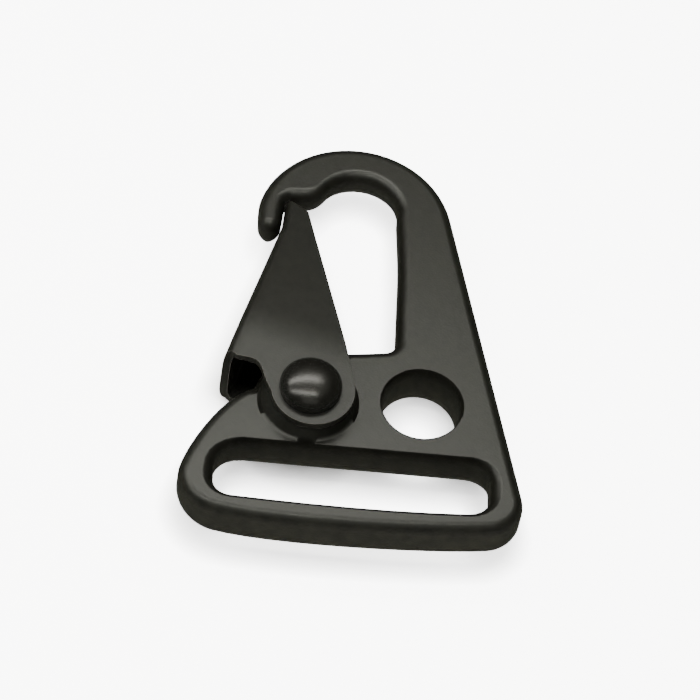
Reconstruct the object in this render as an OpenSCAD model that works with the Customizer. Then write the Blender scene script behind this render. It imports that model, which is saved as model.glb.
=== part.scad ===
// Spring-gate snap hook for flat webbing, in millimetres.
// The origin is the centre of the round eyelet at mid-thickness. +X runs along the webbing slot
// towards the eyelet side, +Y runs up to the crown of the hook, +Z faces the rivet's domed head.

/* [Casting] */
// Thickness of the casting at the eyelet
body_t = 5.8; // [5.4:0.1:6.2]
// How much each face falls towards the crown, per millimetre of length
face_fall = 0.019; // [0:0.001:0.025]
// Width of the rounding round the front edges
front_round = 1.45; // [0.8:0.05:1.6]
// Width of the bevel round the back edges
back_bevel = 1.2; // [0.5:0.05:1.3]
// Depth of the bevel round the back edges
back_bevel_depth = 2.2; // [0.8:0.1:2.5]

/* [Hook] */
// Outside radius of the crown
crown_r = 11.88; // [11.4:0.05:12.4]
// Height of the crown's centre above the eyelet
crown_y = 25.15; // [24.6:0.05:26]
// Distance of the crown's centre to the left of the eyelet
crown_x = 8.72; // [8.4:0.05:9.2]
// Width of the nose
nose_w = 2.75; // [2.6:0.05:3]
// How much the nose widens on its inner side, from its tip up to the pocket
nose_taper = 0.25; // [0:0.01:0.25]
// How far the nose is tucked in from the crown's circle
nose_tuck = 0.33; // [0.1:0.01:0.5]
// Height of the nose's rounded tip above the eyelet
nose_y = 23.7; // [23:0.05:24.4]
// Height of the pocket's ceiling above the eyelet
pocket_y = 29.2; // [29:0.05:29.8]
// Radius of the window's round top
window_r = 4.8; // [4.4:0.05:5]
// Lean of the right edge from the hook's length, in degrees
limb_lean = 13.1; // [12.5:0.1:14]
// Distance of the window's right wall to the left of the eyelet
limb_x = 3.15; // [2.9:0.05:3.4]
// Height of the window's lower edge above the eyelet
sill_y = 7.25; // [6.6:0.05:7.4]

/* [Webbing end] */
// Length of the webbing slot
slot_w = 32; // [31:0.1:33]
// Height of the webbing slot
slot_h = 7.4; // [6:0.1:7.6]
// Distance of the slot's upper edge below the eyelet's centre
slot_top = 7.3; // [7.1:0.1:8]
// Distance of the slot's middle to the left of the eyelet
slot_x = 7.65; // [7.2:0.05:8]
// Width of the bar below the slot
bar_w = 2.4; // [2:0.1:3]
// How much the slot's lower edge rises at its right end
slot_rise = 0.3; // [0:0.05:0.5]
// Width of the side rim left of the slot
rim_w = 4.05; // [3.8:0.05:4.6]
// How much the bar bows out between its ends
bar_bow = 0.75; // [0.2:0.05:1.2]

/* [Eyelet] */
// Diameter of the round eyelet at its middle, where it is narrowest
eyelet_d = 8.9; // [8:0.1:9.4]
// How much wider the eyelet is at the front, on the radius
eyelet_draft = 0.5; // [0:0.05:0.6]

/* [Pivot] */
// Distance of the rivet to the left of the eyelet
pivot_x = 13.27; // [12.9:0.05:13.6]
// Distance of the rivet below the eyelet's centre
pivot_y = 1.12; // [0.8:0.02:1.4]
// Radius of the casting round the rivet
hub_r = 6.6; // [6.2:0.1:6.9]
// Radius of the front boss where it carries the gate's lug
boss_r = 4.4; // [4:0.1:4.5]
// Radius of the back boss where it carries the gate's lug
rear_boss_r = 3.5; // [3.2:0.1:3.8]
// Slope of the bosses' sides, in degrees from upright
boss_slope = 41; // [20:1:45]
// Diameter of the rivet's shank
shank_d = 4; // [3.4:0.1:4.2]
// Diameter of the rivet's domed head
head_d = 7.25; // [6.4:0.05:8]
// Height of the straight rim of the domed head
head_rim = 0.5; // [0.2:0.05:0.8]
// Height of the dome above the rim
head_dome = 1.9; // [1:0.05:2.2]
// Diameter of the riveted tail
tail_d = 6; // [5.4:0.1:7]
// Height of the riveted tail
tail_h = 0.8; // [0.5:0.05:1.2]

/* [Gate] */
// Thickness of the gate's sheet
sheet_t = 0.95; // [0.7:0.05:1.1]
// Height of the gate's front lug above the casting's mid-plane
lug_front = 5.7; // [5.4:0.1:6.2]
// Depth of the gate's rear lug below the casting's mid-plane
lug_back = 4.5; // [4.3:0.1:5.2]
// Outside depth of the gate at its tip
tip_depth = 4.7; // [4.2:0.1:4.9]
// Radius of the front lug
lug_r = 4.87; // [4.7:0.01:5.2]
// How far the front lug's centre stands right of the rivet
lug_shift = 0.32; // [0:0.02:0.4]
// Radius of the rear lug round the rivet
rear_lug_r = 3.9; // [3.6:0.05:4.4]
// Lean of the gate's web from the hook's length, in degrees
web_lean = 16; // [15.5:0.1:16.5]
// How far the gate's web swings out at the tip
tip_jog = 0.75; // [0.4:0.05:1]
// Distance along the gate from the rivet to the soft bend where its sides close in
bend_at = 6.5; // [6.4:0.1:8]
// Half length of that soft bend
bend_run = 2.5; // [1:0.1:2.5]
// Distance along the gate from the rivet to the tip
gate_reach = 27; // [26.4:0.1:27.2]
// Height of the ledge where the gate's sides are cut back, above the eyelet
ledge_y = 2.3; // [1.6:0.1:3]

/* [Spring] */
// Diameter of the spring wire
wire_d = 0.8; // [0.6:0.05:0.9]
// Whole turns of the torsion spring
coil_turns = 2; // [1:1:3]
// Mean radius of the coil
coil_r = 2.7; // [2.6:0.05:2.85]

/* [Fits] */
// Running clearance between the shank and the gate, on the radius
running_fit = 0.06; // [0.02:0.01:0.1]
// Fixed clearance between the shank and the casting, on the radius
fixed_fit = 0.02; // [0.01:0.01:0.05]
// Side play on each face of the gate
side_play = 0.05; // [0.02:0.01:0.1]
// Clearance round the spring in its pocket
spring_fit = 0.35; // [0.2:0.05:0.4]
// Clearance between the gate's web and the nose, where the web swings out
nose_gap = 0.1; // [0.05:0.01:0.3]
// Clearance between the spring's leg and the gate's web
leg_gap = 0.12; // [0.05:0.01:0.3]

/* [Hidden] */
facets = 96;
arc_step = 9;
round_rings = 5;
far = 30;
cut = 1;

pivot = [-pivot_x, -pivot_y];
crown = [-crown_x, crown_y];
front_boss_z = lug_front - sheet_t - side_play;
back_boss_z = lug_back - sheet_t - side_play;
shank_r = shank_d / 2;

// How far each face stands from the parting plane at height y
function half_t(y) = body_t / 2 - face_fall * y;

// Points of an arc about c, from angle a0 to angle a1, about one every arc_step degrees
function arc(c, r, a0, a1, step = arc_step) =
    let (n = max(2, ceil(abs(a1 - a0) / step)))
    [for (i = [0:n]) c + r * [cos(a0 + (a1 - a0) * i / n), sin(a0 + (a1 - a0) * i / n)]];

// Points of a cubic curve from p0 to p3 with handles p1 and p2
function curve(p0, p1, p2, p3, n = 10) =
    [for (i = [0:n]) let (t = i / n, s = 1 - t)
        s * s * s * p0 + 3 * s * s * t * p1 + 3 * s * t * t * p2 + t * t * t * p3];

// A list of points without the ones that repeat the point before them
function tidy(p) = [for (i = [0:len(p) - 1])
    if (norm(p[i] - p[(i + len(p) - 1) % len(p)]) > 0.02) p[i]];

function unit(v) = v / norm(v);

// Outward normal at each point of a closed outline that runs anticlockwise
function normals(p) = let (n = len(p)) [for (i = [0:n - 1])
    let (a = unit(p[i] - p[(i + n - 1) % n]), b = unit(p[(i + 1) % n] - p[i]), t = unit(a + b))
    [t[1], -t[0]] / max(0.5, sqrt((1 + a * b) / 2))];

// Closed solid through rings that all have the same number of points, seen from the first ring
// each runs anticlockwise about the way that the rings follow one another
module loft(rings) {
    n = len(rings[0]);
    m = len(rings);
    sides = [for (k = [0:m - 2], i = [0:n - 1], half = [0:1])
        let (j = (i + 1) % n, a = k * n + i, b = k * n + j, c = a + n, d = b + n)
        half == 0 ? [a, c, b] : [b, c, d]];
    floor_face = [[for (i = [0:n - 1]) i]];
    roof_face = [[for (i = [n - 1:-1:0]) (m - 1) * n + i]];
    polyhedron(points = [for (r = rings, q = r) q],
        faces = concat(floor_face, sides, roof_face));
}

// Outer edge of the casting, anticlockwise from its lower left corner
slot_left = -slot_x - slot_w / 2;
slot_right = -slot_x + slot_w / 2;
slot_floor = -slot_top - slot_h;
corner_left_r = 5.4;
corner_left = [slot_left - rim_w + corner_left_r, slot_floor - bar_w + corner_left_r];
limb_dir = [cos(limb_lean), sin(limb_lean)];
limb_foot = crown + crown_r * limb_dir;
corner_r = 4.2;
corner_right_y = slot_floor - bar_w + corner_r + 0.4;
corner_right = [crown[0] + (crown_r - corner_r) / limb_dir[0]
    - (corner_right_y - crown[1]) * tan(limb_lean), corner_right_y];
bar_from = corner_left + corner_left_r * [cos(258), sin(258)];
bar_to = corner_right + corner_r * [cos(-81), sin(-81)];
// The nose's round tip lies a little inside the crown's circle, which bends in to meet it
nose_r = nose_w / 2;
nose_reach = crown_r - nose_r - nose_tuck;
nose_a = 180 - asin((nose_y + nose_r - crown_y) / nose_reach);
nose_c = crown + nose_reach * [cos(nose_a), sin(nose_a)];
nose_in = nose_c[0] + nose_r;
crown_end = 165;
crown_leave = crown + crown_r * [cos(crown_end), sin(crown_end)];
pocket_corner_r = 1.2;
window_c = [-limb_x - 0.35 - window_r, pocket_y - 1.7];
hub_leave = 165;
hub_join = 97;
hub_end = pivot + hub_r * [cos(hub_leave), sin(hub_leave)];
shoulder_lean = 18;
sill_end = [-limb_x - 5.6, sill_y - 0.6];
sill_corner_r = 1.7;

outline = tidy(concat(
    arc(corner_left, corner_left_r, 180, 258),
    curve(bar_from, bar_from + bar_bow * 2.2 * [4, -0.85], bar_to - bar_bow * 2.2 * [4, 0.62], bar_to, 12),
    arc(corner_right, corner_r, -81, limb_lean),
    [for (i = [1:5]) corner_right + corner_r * limb_dir
        + (limb_foot - corner_right - corner_r * limb_dir) * i / 6],
    arc(crown, crown_r, limb_lean, crown_end, 6),
    curve(crown_leave, crown_leave + [-sin(crown_end), cos(crown_end)],
        nose_c + [-nose_r, 1], nose_c - [nose_r, 0], 4),
    arc(nose_c, nose_r, 180, 360, 15),
    [[nose_in + nose_taper / 2, nose_c[1] + 1]],
    arc([nose_in + nose_taper + pocket_corner_r, pocket_y - 0.6 - pocket_corner_r], pocket_corner_r,
        180, 98, 14),
    curve([nose_in + 2.6, pocket_y - 0.5], [nose_in + 3.9, pocket_y - 0.3],
        window_c + window_r * [cos(150), sin(150)] - 0.9 * [cos(60), sin(60)],
        window_c + window_r * [cos(144), sin(144)], 6),
    arc(window_c, window_r, 138, 6),
    curve([-limb_x - 0.42, window_c[1] - 0.5], [-limb_x - 0.3, window_c[1] - 3],
        [-limb_x, window_c[1] - 6], [-limb_x, window_c[1] - 9], 6),
    arc([-limb_x - sill_corner_r, sill_y + sill_corner_r], sill_corner_r, 0, -84, 12),
    [sill_end],
    arc(pivot, hub_r, hub_join, hub_leave),
    curve(hub_end, hub_end - 4.06 * [cos(shoulder_lean), sin(shoulder_lean)],
        [corner_left[0] - corner_left_r, corner_left[1] + 2.2],
        [corner_left[0] - corner_left_r, corner_left[1]], 12)
));
outline_n = normals(outline);

// Profiles of the edges as width and depth from the face, from the face to the side wall. Neither
// may be wider than half the nose
edge_w = nose_r - 0.04;
front_edge = let (w = min(front_round, edge_w))
    [for (k = [0:round_rings]) let (a = 90 * k / round_rings) [w * (1 - sin(a)), front_round * (1 - cos(a))]];
back_edge = let (w = min(back_bevel, edge_w), d = back_bevel_depth)
    curve([w, 0], [0.8 * w, 0], [0, 0.75 * d], [0, d], round_rings);

// The casting's edge, drawn in by those profiles: first the back ring, last the front ring
back_rings = [for (e = back_edge)
    [for (i = [0:len(outline) - 1]) let (q = outline[i] - e[0] * outline_n[i])
        [q[0], q[1], -half_t(q[1]) + e[1]]]];
front_rings = [for (k = [round_rings:-1:0]) let (e = front_edge[k])
    [for (i = [0:len(outline) - 1]) let (q = outline[i] - e[0] * outline_n[i])
        [q[0], q[1], half_t(q[1]) - e[1]]]];

// A round-cornered box whose sides each stand out by their own amount: left, right, down, up.
// The corners run anticlockwise from the lower left one, each with its own radius
slot_corners = [2.1, 2.6, 2.6, 3.6];
function slot_ring(l, r, d, u) = let (
    x0 = slot_left - l, x1 = slot_right + r, y0 = slot_floor - d, y1 = -slot_top + u,
    mid = (x0 + x1) / 2, half = (x1 - x0) / 2,
    ra = slot_corners[0] + (l + d) / 2, rb = slot_corners[1] + (r + d) / 2,
    rc = slot_corners[2] + (r + u) / 2, rd = slot_corners[3] + (l + u) / 2,
    box = concat(
        arc([x0 + ra, y0 + ra], ra, 180, 270, 15),
        [for (i = [1:5]) [x0 + ra + (x1 - x0 - ra - rb) * i / 6, y0]],
        arc([x1 - rb, y0 + rb], rb, -90, 0, 15),
        arc([x1 - rc, y1 - rc], rc, 0, 90, 15),
        [for (i = [5:-1:1]) [x0 + rd + (x1 - x0 - rd - rc) * i / 6, y1]],
        arc([x0 + rd, y1 - rd], rd, 90, 180, 15)))
    [for (q = box) let (w = (q[0] - mid) / half, low = (y1 - q[1]) / (y1 - y0))
        [q[0], q[1] + (bar_bow / 2 + (w > 0 ? slot_rise : 0)) * w * w * low]];

// The flare starts just clear of each face, so that the face trims it cleanly
rim_lift = 0.07;
eyelet_lip = 0.15;
slot_flare = [1.6, 1.5, 1.0, 0.45];
slot_back_flare = [1.2, 1.0, 0.9, 1.1];

function slot_level(f, s) = slot_ring(f[0] * s, f[1] * s, f[2] * s, f[3] * s);

slot_rings = concat(
    [[for (q = slot_level(slot_back_flare, 1)) [q[0], q[1], -half_t(q[1]) - cut]]],
    [for (k = [0:round_rings]) let (e = back_edge[k])
        [for (q = slot_level(slot_back_flare, e[0] / back_edge[0][0]))
            [q[0], q[1], -half_t(q[1]) + e[1] - (k == 0 ? rim_lift : 0)]]],
    [for (k = [round_rings:-1:0]) let (e = front_edge[k])
        [for (q = slot_level(slot_flare, e[0] / front_edge[0][0]))
            [q[0], q[1], half_t(q[1]) - e[1] + (k == 0 ? rim_lift : 0)]]],
    [[for (q = slot_level(slot_flare, 1)) [q[0], q[1], half_t(q[1]) + cut]]]
);

// Boss on one face: a cone that widens from its flat top down to a crisp foot just above the
// casting's face
boss_step = 0.05;
module boss(top, r) {
    face = half_t(-pivot_y);
    foot_r = r + (top - face) * tan(boss_slope);
    translate([pivot[0], pivot[1], 0])
        rotate_extrude($fn = facets)
            polygon([[0, face / 2], [foot_r, face / 2], [foot_r, face + boss_step], [r, top], [0, top]]);
}

// Eyelet: a cast hole, straight in its middle half and drafted to both faces, mostly to the front,
// where its edge is broken
module eyelet() {
    r = eyelet_d / 2;
    front_r = r + eyelet_draft;
    back_r = r + eyelet_draft / 5;
    face = half_t(0);
    rotate_extrude($fn = facets)
        polygon([[0, -far], [back_r, -far], [back_r, -face], [r, -face / 2], [r, face / 2],
            [front_r - eyelet_lip, face - eyelet_lip], [front_r + eyelet_lip, face + eyelet_lip],
            [0, face + eyelet_lip]]);
}

// The gate's own axes: along runs up its web, inward points from the web to the window
along = [sin(web_lean), cos(web_lean)];
inward = [cos(web_lean), -sin(web_lean)];
function on_gate(t, u) = pivot + t * along + u * inward;

// The web swings out at jog_at along the gate, and stands nose_gap clear of the nose there
jog_at = gate_reach - 3.7;
web_reach = (pivot[0] + jog_at * along[0] - nose_in - nose_gap) / inward[0];

// Torsion spring: its stub lies in the pocket's mouth, and its leg lies along the inside of the web
mouth_a = 122;
mouth_w = 5.9;
leg_length = 12;
stub_length = 4.4;
leg_u = web_reach - sheet_t - wire_d / 2 - leg_gap;
coil_end = 180 - web_lean + atan2(leg_length, coil_r) - acos(leg_u / norm([coil_r, leg_length]));
coil_start = mouth_a - 82 + 360 * (coil_turns + 1);
coil_pitch = wire_d * 1.03;
coil_h = coil_pitch * ((coil_start - coil_end) / 360 + 1);
coil_low = -coil_h / 2 + wire_d / 2;

// Spring pocket: a round seat about the rivet, open towards the gate's web
pocket_r = coil_r + wire_d / 2 + spring_fit;
pocket_h = coil_h + 2 * spring_fit;

module spring_pocket() {
    translate([pivot[0], pivot[1], -pocket_h / 2]) {
        cylinder(h = pocket_h, r = pocket_r, $fn = facets);
        rotate([0, 0, mouth_a]) translate([0, -mouth_w / 2, 0]) cube([2 * hub_r, mouth_w, pocket_h]);
    }
}

// The flat casting with its rounded outer edge and its flared webbing slot, kept at its own size
module shell() {
    resize([0, 0, 0])
        difference() {
            loft(concat(back_rings, front_rings));
            loft(slot_rings);
        }
}

module hook_body() {
    color([0.27, 0.27, 0.25])
    difference() {
        union() {
            shell();
            boss(front_boss_z, boss_r);
            mirror([0, 0, 1]) boss(back_boss_z, rear_boss_r);
        }
        eyelet();
        translate([pivot[0], pivot[1], -far / 2]) cylinder(h = far, r = shank_r + fixed_fit, $fn = facets);
        spring_pocket();
    }
}

// How far the gate's sides stand from the parting plane, and the line of its web, at distance t
function run_past(t, at, half) =
    t < at - half ? 0 : t > at + half ? t - at : pow(t - at + half, 2) / (4 * half);
function gate_half(t, lug) =
    lug - (lug - tip_depth / 2) / (gate_reach - bend_at) * run_past(t, bend_at, bend_run);
function web_line(t) = -web_reach - tip_jog * run_past(t, jog_at, 0.4) / (gate_reach - jog_at);

// A section across the gate: a web that swells outward with rounded bends, open towards +u
bend_w = 2;
bend_power = 0.45;
function bulge(t, inset, reach) = let (
    f = gate_half(t, lug_front) - inset, b = gate_half(t, lug_back) - inset,
    w = bend_w - inset, u0 = web_line(t) + bend_w)
    concat(
        [[reach, f]],
        [for (a = [90:12:270])
            [u0 - w * pow(abs(cos(a)), bend_power), (a < 180 ? f : -b) * pow(abs(sin(a)), bend_power)]],
        [[reach, -b]]);
function gate_ring(t, inset, reach) = [for (s = bulge(t, inset, reach))
    let (q = on_gate(t, s[0])) [q[0], q[1], s[1]]];

bend_steps = [for (i = [2:-1:-2]) bend_at + bend_run * i / 2];
gate_stations = concat([gate_reach, jog_at + 0.4, jog_at - 0.4, 16], bend_steps);

// Flat outline of the gate's sides round a lug of radius r about c: from the tip's window corner
// over the heel, down outside the web, along the ledge, down the neck, round the lug to the foot
// of the window edge
tip_corner = pivot + [-1.15, gate_reach + 0.4];
edge_foot = pivot + [3.94, 6.42];
tip_line = web_line(gate_reach);
web_out = -web_reach - 2;
lug_c = pivot + [lug_shift, -0.1];
function neck(x, y) = [lug_c[0] - lug_r - x, ledge_y + y];
function foot_touch(c, r) = let (v = edge_foot - c) atan2(v[1], v[0]) - acos(r / norm(v));
function gate_outline(c, r) = concat(
    [tip_corner],
    [on_gate(gate_reach - 0.05, tip_line + 0.6)],
    [on_gate(gate_reach - 0.7, tip_line - 0.3)],
    [on_gate(gate_reach - 1, web_out)],
    [[on_gate(0, web_out)[0] - 2, ledge_y + 0.9]],
    [neck(4.8, 0.8)],
    [neck(4.15, 0.3)],
    [neck(2.8, 0.08)],
    curve(neck(2.4, 0), neck(1.5, -0.15), neck(1.25, -1), neck(0.95, -1.9), 5),
    [neck(0.58, -3)],
    arc(c, r, 190, 360 + foot_touch(c, r), 6),
    [edge_foot]);

// The folded sheet before its sides are trimmed
module channel() {
    difference() {
        loft([for (t = concat(gate_reach + 4, gate_stations, -9)) gate_ring(t, 0, 16)]);
        loft([for (t = concat(gate_reach + 5, gate_stations, -10)) gate_ring(t, sheet_t, 17)]);
    }
}

// The sheet trimmed to its outline in front and behind, kept at its own size
module trimmed() {
    resize([0, 0, 0])
        intersection() {
            channel();
            union() {
                linear_extrude(far) polygon(gate_outline(lug_c, lug_r));
                translate([0, 0, -far]) linear_extrude(far) polygon(gate_outline(pivot, rear_lug_r));
            }
        }
}

module gate() {
    color([0.24, 0.24, 0.22])
    difference() {
        trimmed();
        translate([pivot[0], pivot[1], -far / 2])
            cylinder(h = far, r = shank_r + running_fit, $fn = facets);
    }
}

// Rivet: domed head in front, shank through gate and casting, riveted tail behind
module rivet() {
    seat = lug_front + side_play;
    foot = lug_back + side_play;
    head_r = head_d / 2;
    shoulder = seat + head_rim;
    tail_r = tail_d / 2;
    profile = concat(
        [[0, -foot - tail_h], [tail_r - 0.5, -foot - tail_h], [tail_r, -foot - tail_h + 0.5],
         [tail_r, -foot], [shank_r, -foot], [shank_r, seat], [head_r, seat]],
        [for (a = [0:7.5:90]) [head_r * cos(a), shoulder + head_dome * sin(a)]]);
    color([0.2, 0.2, 0.19])
    translate([pivot[0], pivot[1], 0]) rotate_extrude($fn = facets) polygon(profile);
}

// Spring wire: a stub on the casting, the coil wound clockwise about the shank, a leg up the gate's web
function coil_at(a) = [pivot[0] + coil_r * cos(a), pivot[1] + coil_r * sin(a),
    coil_low + coil_pitch * (coil_start - a) / 360];
function travel(a) = [sin(a), -cos(a), 0];
wire_path = concat(
    [for (s = [stub_length, stub_length / 2]) coil_at(coil_start) - s * travel(coil_start)],
    [for (i = [0:62]) coil_at(coil_start + (coil_end - coil_start) * i / 62)],
    [for (s = [leg_length / 3, 2 * leg_length / 3, leg_length]) coil_at(coil_end) + s * travel(coil_end)]);

// A round wire swept along a path, closed at both ends
module wire(path, d, sides = 8) {
    n = len(path);
    rings = [for (i = [0:n - 1]) let (
        t = unit(path[min(i + 1, n - 1)] - path[max(i - 1, 0)]),
        e1 = unit(cross([0, 0, 1], t)), e2 = cross(t, e1))
        [for (k = [0:sides - 1]) path[i] + d / 2 * (cos(360 * k / sides) * e1 + sin(360 * k / sides) * e2)]];
    loft(rings);
}

module gate_spring() {
    color([0.62, 0.62, 0.6]) wire(wire_path, wire_d);
}

hook_body();
gate();
rivet();
gate_spring();
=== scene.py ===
# %% [markdown]
# Snap hook for flat webbing: the look. The CAD model gives every solid in its real size, so this
# script only dresses it: it evens the shading of each solid, gives it the finish of the real one,
# and lights it on a pale table like a small piece of hardware in a catalogue. Everything is in
# metres, and lengths are written in millimetres times MM.

# %% Load the frame
import math

import bmesh
import bpy
import numpy as np
from mathutils import Matrix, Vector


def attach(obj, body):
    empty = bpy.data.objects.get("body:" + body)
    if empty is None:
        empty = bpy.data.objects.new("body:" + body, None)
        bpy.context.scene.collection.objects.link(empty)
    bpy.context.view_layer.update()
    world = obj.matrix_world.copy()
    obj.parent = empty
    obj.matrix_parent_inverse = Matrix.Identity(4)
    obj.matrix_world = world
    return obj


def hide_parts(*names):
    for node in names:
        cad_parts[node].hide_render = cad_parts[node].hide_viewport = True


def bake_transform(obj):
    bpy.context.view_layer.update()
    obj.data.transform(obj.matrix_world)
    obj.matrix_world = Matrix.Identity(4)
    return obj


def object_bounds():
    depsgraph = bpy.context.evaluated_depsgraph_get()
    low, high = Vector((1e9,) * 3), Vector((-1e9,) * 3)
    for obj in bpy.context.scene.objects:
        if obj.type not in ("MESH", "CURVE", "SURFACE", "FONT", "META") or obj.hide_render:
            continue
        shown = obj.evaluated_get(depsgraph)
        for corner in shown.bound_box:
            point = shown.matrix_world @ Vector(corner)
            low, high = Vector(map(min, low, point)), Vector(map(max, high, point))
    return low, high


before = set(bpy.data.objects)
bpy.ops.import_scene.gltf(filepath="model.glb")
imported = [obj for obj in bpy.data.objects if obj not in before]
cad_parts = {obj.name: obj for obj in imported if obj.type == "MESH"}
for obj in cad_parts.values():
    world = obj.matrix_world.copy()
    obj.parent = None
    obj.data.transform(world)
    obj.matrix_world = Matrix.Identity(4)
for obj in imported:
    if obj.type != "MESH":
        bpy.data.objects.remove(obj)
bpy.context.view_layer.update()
MM = 0.001

# %% [markdown]
# A CAD mesh arrives as loose triangles, so it shades as flat facets. The rounded edges of a casting
# should shade as one smooth skin, with a crisp line only where the metal really has an edge. A copy
# is merged at its corners, marked sharp where two faces meet steeply, and its normals are weighted
# by face area, so that the large flats stay flat right up to their rounded rims. A sheared sheet is
# rubbed round along its cut edges, so the gate's copy has them broken by a small bevel as well.

# %% Smooth copies of the CAD solids
WELD_MM = 0.002
FLAT_DEG = 0.3
FLATS_WEIGHT = 90
GATE_EDGE_MM = 0.2
EDGE_STEPS = 3
# Slot of the second finish, the painted highlight on the bevelled edges.
EDGE_HIGHLIGHT_SLOT = 1


def smooth_copy(node_name, piece_name, body, sharp_deg, broken_mm=0.0):
    """A merged copy of a CAD node that stands for it, smooth except where faces meet over sharp_deg.
    Such edges are rounded by broken_mm."""
    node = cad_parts[node_name]
    mesh = node.data.copy()
    mesh.name = piece_name
    work = bmesh.new()
    work.from_mesh(mesh)
    bmesh.ops.remove_doubles(work, verts=work.verts, dist=WELD_MM * MM)
    bmesh.ops.dissolve_degenerate(work, edges=work.edges, dist=WELD_MM * MM)
    bmesh.ops.dissolve_limit(work, angle_limit=math.radians(FLAT_DEG), verts=work.verts, edges=work.edges)
    work.to_mesh(mesh)
    work.free()
    mesh.shade_smooth()
    mesh.set_sharp_from_angle(angle=math.radians(sharp_deg))
    piece = bpy.data.objects.new(piece_name, mesh)
    bpy.context.scene.collection.objects.link(piece)
    if broken_mm:
        burr = piece.modifiers.new("broken edges", "BEVEL")
        # The bevel faces take the second finish, a paler tone that paints a highlight along the edge.
        burr.material = EDGE_HIGHLIGHT_SLOT
        burr.width = broken_mm * MM
        burr.segments = EDGE_STEPS
        burr.limit_method = "ANGLE"
        burr.angle_limit = math.radians(sharp_deg)
        burr.harden_normals = True
    even = piece.modifiers.new("flats stay flat", "WEIGHTED_NORMAL")
    even.weight = FLATS_WEIGHT
    even.keep_sharp = True
    if body:
        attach(piece, body)
    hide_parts(node_name)
    print(piece_name, "has", len(mesh.polygons), "faces and", len(mesh.vertices), "corners")
    return piece


casting = smooth_copy("hook_body", "casting", "frame", 30)
gate = smooth_copy("gate", "folded_gate", "gate", 38, GATE_EDGE_MM)
rivet = smooth_copy("rivet", "domed_rivet", "frame", 38)
spring = smooth_copy("gate_spring", "torsion_spring", None, 60)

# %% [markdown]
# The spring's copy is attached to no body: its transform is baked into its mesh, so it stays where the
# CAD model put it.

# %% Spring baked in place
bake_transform(spring)

# %% [markdown]
# Colours are given as sRGB hex and turned to linear by one function, and one small function adds a
# shader node with its settings and links.

# %% Colour and node helpers


def linear(hex_colour):
    """sRGB hex to linear RGBA: c/12.92 below 0.04045, otherwise ((c + 0.055) / 1.055) to the power 2.4."""
    srgb = np.array([int(hex_colour[i:i + 2], 16) for i in (1, 3, 5)]) / 255
    rgb = np.where(srgb <= 0.04045, srgb / 12.92, ((srgb + 0.055) / 1.055) ** 2.4)
    return (*rgb.tolist(), 1.0)


def add(tree, kind, settings=None, inputs=None):
    """One node of a kind, with its settings, and its inputs set to values or linked to sockets."""
    node = tree.nodes.new(kind)
    for key, value in (settings or {}).items():
        setattr(node, key, value)
    for key, value in (inputs or {}).items():
        if isinstance(value, bpy.types.NodeSocket):
            tree.links.new(value, node.inputs[key])
        else:
            node.inputs[key].default_value = value
    return node


# %% [markdown]
# The finish. Hooks of this kind are cast or stamped steel, tumbled smooth and blackened with
# phosphate and oil or a thin satin lacquer. The coat is thin, so the metal reads dark grey rather
# than black and softly glossy. Its tone is clouded by a coarse noise, and a finer one gives it a
# tooth. The tooth of real phosphate is too fine to show, so it is drawn at about a quarter of a
# millimetre. Both noises read Object coordinates, so they stay on the metal as it moves.

# %% Finishes
CLOUD_DARK, CLOUD_LIGHT = 0.35, 0.65
TOOTH_HEIGHT_MM = 0.02
TOOTH_STRENGTH = 0.7


def blackened(name, dark, light, roughness, grain_mm, tooth_mm, ior=1.5):
    """Blackened steel: two tones clouded together, with a fine tooth in the surface."""
    made = bpy.data.materials.new(name)
    made.use_nodes = True
    tree = made.node_tree
    tree.nodes.clear()
    place = add(tree, "ShaderNodeTexCoord").outputs["Object"]
    cloud = add(tree, "ShaderNodeTexNoise", inputs={
        "Vector": place, "Scale": 1 / (grain_mm * MM), "Detail": 4.0, "Roughness": 0.6})
    tone = add(tree, "ShaderNodeMapRange", inputs={
        "Value": cloud.outputs["Fac"], "From Min": CLOUD_DARK, "From Max": CLOUD_LIGHT})
    mixed = add(tree, "ShaderNodeMix", {"data_type": "RGBA"}, {
        "Factor": tone.outputs["Result"], "A": linear(dark), "B": linear(light)})
    tooth = add(tree, "ShaderNodeTexNoise", inputs={
        "Vector": place, "Scale": 1 / (tooth_mm * MM), "Detail": 2.0})
    bump = add(tree, "ShaderNodeBump", inputs={
        "Height": tooth.outputs["Fac"], "Strength": TOOTH_STRENGTH, "Distance": TOOTH_HEIGHT_MM * MM})
    shader = add(tree, "ShaderNodeBsdfPrincipled", inputs={
        "Base Color": mixed.outputs["Result"], "Roughness": roughness,
        "Normal": bump.outputs["Normal"], "IOR": ior})
    add(tree, "ShaderNodeOutputMaterial", inputs={"Surface": shader.outputs["BSDF"]})
    print("finish", name)
    return made


def dress(piece, *finishes):
    """The finishes of a piece: the first over all of it, a second one on its broken edges, which on the gate
    is a painted highlight.
    """
    piece.data.materials.clear()
    for finish in finishes:
        piece.data.materials.append(finish)


# Tumbled castings keep a soft, even tooth under the coat: a broad dull sheen with no sharp mirror.
phosphated_casting = blackened("phosphated_steel_casting", "#0d0d0a", "#13130e", 0.40, 1.6, 0.28)
# Rolled sheet is smoother but flat, and the coat on it reads a little darker than on the casting.
phosphated_sheet = blackened("phosphated_sheet_steel", "#0c0c09", "#12120e", 0.43, 1.2, 0.24, 1.48)
# The dome is formed by a polished die, so its oiled oxide shows the lamps as two clear streaks.
oiled_rivet = blackened("oil_black_rivet", "#0e0e0c", "#131311", 0.26, 1.5, 0.4)
# A paler tone on the bevelled cut edge of the sheet is a painted highlight: a thin light line where the edge
# catches the lamps.
painted_edge_highlight = blackened("painted_highlight_sheet_edge", "#2c2c28", "#4a4a44", 0.34, 0.9, 0.24)
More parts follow.
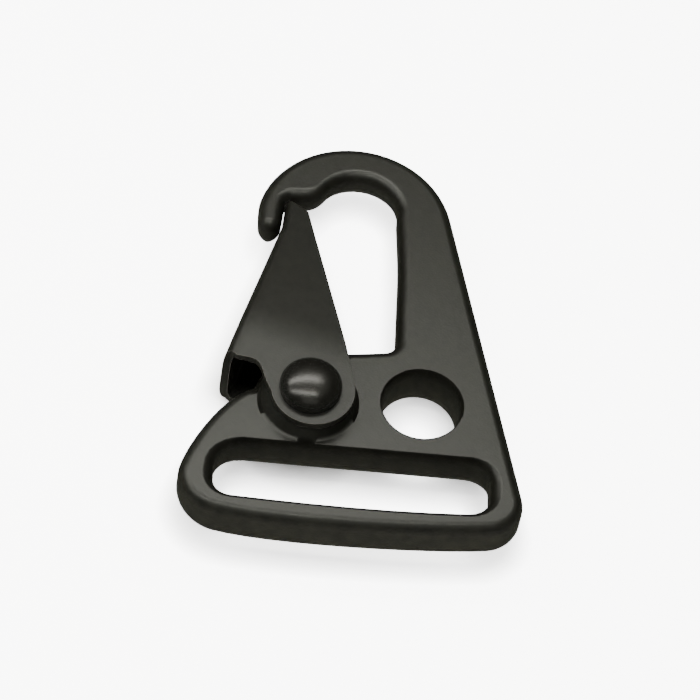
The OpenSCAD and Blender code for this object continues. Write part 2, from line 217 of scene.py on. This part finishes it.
# Drawn spring wire keeps its bright skin, hidden inside the hub.
spring_wire = bpy.data.materials.new("drawn_spring_wire")
spring_wire.use_nodes = True
wire_shader = spring_wire.node_tree.nodes["Principled BSDF"]
wire_shader.inputs["Base Color"].default_value = linear("#8f8f8c")
wire_shader.inputs["Metallic"].default_value = 1.0
wire_shader.inputs["Roughness"].default_value = 0.35
dress(casting, phosphated_casting)
dress(gate, phosphated_sheet, painted_edge_highlight)
dress(rivet, oiled_rivet)
dress(spring, spring_wire)

# %% [markdown]
# The hook rests on a light table: a plain sheet that glows evenly white, with a contact shadow painted
# into its glow close to the metal, like the soft contact shadow in a catalogue picture. The glow also
# lights the walls of the slot, window and eyelet from below, but the flats don't mirror it. A wall of the
# same paper stands far round it, so that every view ends in the same even white.

# %% Light table with a painted contact shadow
low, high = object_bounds()
TABLE_MM = 3000
TABLE_GLOW = 8.0
# Reach and depth of the shadow painted into the table's glow close to the metal.
PAINTED_SHADOW_REACH_MM = 4.0
PAINTED_SHADOW_DEPTH = 3.0
edge = TABLE_MM * MM / 2
corners = np.array([[-edge, -edge, low[2]], [edge, -edge, low[2]],
                    [edge, edge, low[2]], [-edge, edge, low[2]]])
table_mesh = bpy.data.meshes.new("table")
table_mesh.from_pydata(corners.tolist(), [], [(0, 1, 2, 3)])
table = bpy.data.objects.new("table", table_mesh)
bpy.context.scene.collection.objects.link(table)
table.visible_glossy = False
paper = bpy.data.materials.new("matt_white_paper")
paper.use_nodes = True
paper_shader = paper.node_tree.nodes["Principled BSDF"]
paper_shader.inputs["Base Color"].default_value = linear("#f4f4f4")
paper_shader.inputs["Roughness"].default_value = 0.9
paper_shader.inputs["Specular IOR Level"].default_value = 0.1
paper_shader.inputs["Emission Color"].default_value = linear("#ffffff")
paper_tree = paper.node_tree
# Painted shadow: ambient occlusion dims the glow near the metal in place of a contact shadow.
openness = add(paper_tree, "ShaderNodeAmbientOcclusion", {"samples": 8},
               {"Distance": PAINTED_SHADOW_REACH_MM * MM})
shade = add(paper_tree, "ShaderNodeMath", {"operation": "POWER"},
            {0: openness.outputs["AO"], 1: PAINTED_SHADOW_DEPTH})
glow_with_painted_shadow = add(paper_tree, "ShaderNodeMath", {"operation": "MULTIPLY"},
                  {0: shade.outputs["Value"], 1: TABLE_GLOW})
paper_tree.links.new(glow_with_painted_shadow.outputs["Value"], paper_shader.inputs["Emission Strength"])
dress(table, paper)
print("table at", round(low[2] / MM, 2), "mm")

# %% Wall round the table
WALL_SIDES = 64
WALL_INSIDE = 0.98
around = np.linspace(0, 2 * math.pi, WALL_SIDES, endpoint=False)
ring = np.column_stack([np.cos(around), np.sin(around), np.zeros(WALL_SIDES)]) * edge * WALL_INSIDE
foot_ring = ring + [0, 0, low[2]]
wall_mesh = bpy.data.meshes.new("wall")
wall_mesh.from_pydata(
    np.vstack([foot_ring, foot_ring + [0, 0, TABLE_MM * MM]]).tolist(), [],
    [(i, (i + 1) % WALL_SIDES, WALL_SIDES + (i + 1) % WALL_SIDES, WALL_SIDES + i) for i in range(WALL_SIDES)])
wall = bpy.data.objects.new("wall", wall_mesh)
bpy.context.scene.collection.objects.link(wall)
dress(wall, paper)
for flag in ("visible_glossy", "visible_diffuse", "visible_transmission", "visible_shadow"):
    setattr(wall, flag, False)
print("wall at", round(edge * WALL_INSIDE / MM), "mm from the middle")

# %% [markdown]
# The lamps. Two long narrow softboxes stand high over the hook, one to the north and moved west, one
# to the south and moved east. They draw the two streaks on the rivet's dome and the bright lines
# along the rounded rims. A small softbox near by lifts the foot of the hook, where the flats mirror
# the north at about 55 degrees up. A weak one near the camera lifts what slopes to the front.

# %% Lamps
LAMP_TINT = (1.0, 1.0, 0.91)


def softbox(name, azimuth, elevation, distance_mm, width_mm, height_mm, power, aside_mm):
    """An area light that looks at the hook's middle from a compass bearing and a height, moved aside."""
    light = bpy.data.lights.new(name, "AREA")
    light.shape = "RECTANGLE"
    light.size = width_mm * MM
    light.size_y = height_mm * MM
    light.energy = power
    light.color = LAMP_TINT
    a, e = math.radians(azimuth), math.radians(elevation)
    away = np.array([math.sin(a) * math.cos(e), math.cos(a) * math.cos(e), math.sin(e)])
    across = np.array([math.cos(a), -math.sin(a), 0.0])
    upward = np.cross(away, across)
    facing = Matrix(np.column_stack([across, upward, away]).tolist()).to_4x4()
    middle = (np.array(low) + np.array(high)) / 2
    lamp = bpy.data.objects.new(name, light)
    place = middle + (away * distance_mm + across * aside_mm) * MM
    lamp.matrix_world = Matrix.Translation(place.tolist()) @ facing
    bpy.context.scene.collection.objects.link(lamp)
    print(name, "stands at", [round(value / MM) for value in place.tolist()], "mm")


# Each row: name, bearing and height in degrees, then distance, width and height in mm, watts, mm aside.
LAMPS = [
    ("north_strip", 0, 67, 190, 330, 30, 0.30, -104),
    ("south_strip", 180, 77, 180, 310, 24, 0.26, 112),
    ("foot_light", -4, 64, 110, 170, 22, 0.026, -43),
    ("front_fill", 180, 48, 300, 220, 160, 0.07, 0),
]
for lamp_row in LAMPS:
    softbox(*lamp_row)

# %% [markdown]
# The sky fills what the lamps leave. It is brightest a little north of straight up and falls off to
# a dim ring lower down, so the flats read mid grey and the steep sides stay dark.

# %% Sky
SKY_ABOVE = 0.78
SKY_BELOW = 0.07
SKY_TILT_DEG = 15
SKY_RIM, SKY_CORE = 0.66, 0.97
sky = bpy.data.worlds.new("studio_sky")
bpy.context.scene.world = sky
sky.use_nodes = True
sky_tree = sky.node_tree
sky_tree.nodes.clear()
bearing = add(sky_tree, "ShaderNodeTexCoord").outputs["Generated"]
brightest = (0.0, math.sin(math.radians(SKY_TILT_DEG)), math.cos(math.radians(SKY_TILT_DEG)))
toward = add(sky_tree, "ShaderNodeVectorMath", {"operation": "DOT_PRODUCT"}, {0: bearing, 1: brightest})
strength = add(sky_tree, "ShaderNodeMapRange", inputs={
    "Value": toward.outputs["Value"], "From Min": SKY_RIM, "From Max": SKY_CORE,
    "To Min": SKY_BELOW, "To Max": SKY_ABOVE})
glow = add(sky_tree, "ShaderNodeBackground", inputs={
    "Color": linear("#f4f5e3"), "Strength": strength.outputs["Result"]})
add(sky_tree, "ShaderNodeOutputWorld", inputs={"Surface": glow.outputs["Background"]})
print("sky brightest toward", [round(value, 2) for value in brightest])

# %% [markdown]
# The camera stands where the photographer's did: about 46 cm away, looking down at 55 degrees from
# the slot's side, a little from the left, with the picture turned 10.7 degrees clockwise. These
# angles were fitted to the outline of the hook in the photograph.

# %% Camera
CAMERA_HEADING = 6.696
CAMERA_ELEVATION = 55.389
CAMERA_ROLL = 10.740
CAMERA_DISTANCE_MM = 459.95
CAMERA_TARGET_MM = (-8.458, 8.535, 0.0)
LENS_MM = 200.57
SENSOR_MM = 36.0
NEAREST_MM = 10


def camera_turn(heading, elevation, roll):
    """Columns right, up and back of a camera that looks along heading and down by elevation."""
    a, e, r = np.radians([heading, elevation, roll])
    look = np.array([np.sin(a) * np.cos(e), np.cos(a) * np.cos(e), -np.sin(e)])
    right = np.array([np.cos(a), -np.sin(a), 0.0])
    up = np.cross(right, look)
    rolled_right = right * np.cos(r) + up * np.sin(r)
    rolled_up = up * np.cos(r) - right * np.sin(r)
    return np.column_stack([rolled_right, rolled_up, -look]), look


turn, look = camera_turn(CAMERA_HEADING, CAMERA_ELEVATION, CAMERA_ROLL)
camera_data = bpy.data.cameras.new("camera")
camera_data.lens = LENS_MM
camera_data.sensor_width = SENSOR_MM
camera_data.clip_start = NEAREST_MM * MM
camera = bpy.data.objects.new("camera", camera_data)
stand = (np.array(CAMERA_TARGET_MM) - look * CAMERA_DISTANCE_MM) * MM
camera.matrix_world = Matrix.Translation(stand.tolist()) @ Matrix(turn.tolist()).to_4x4()
bpy.context.scene.collection.objects.link(camera)
bpy.context.scene.camera = camera
print("camera stands at", [round(value / MM, 1) for value in stand], "mm")
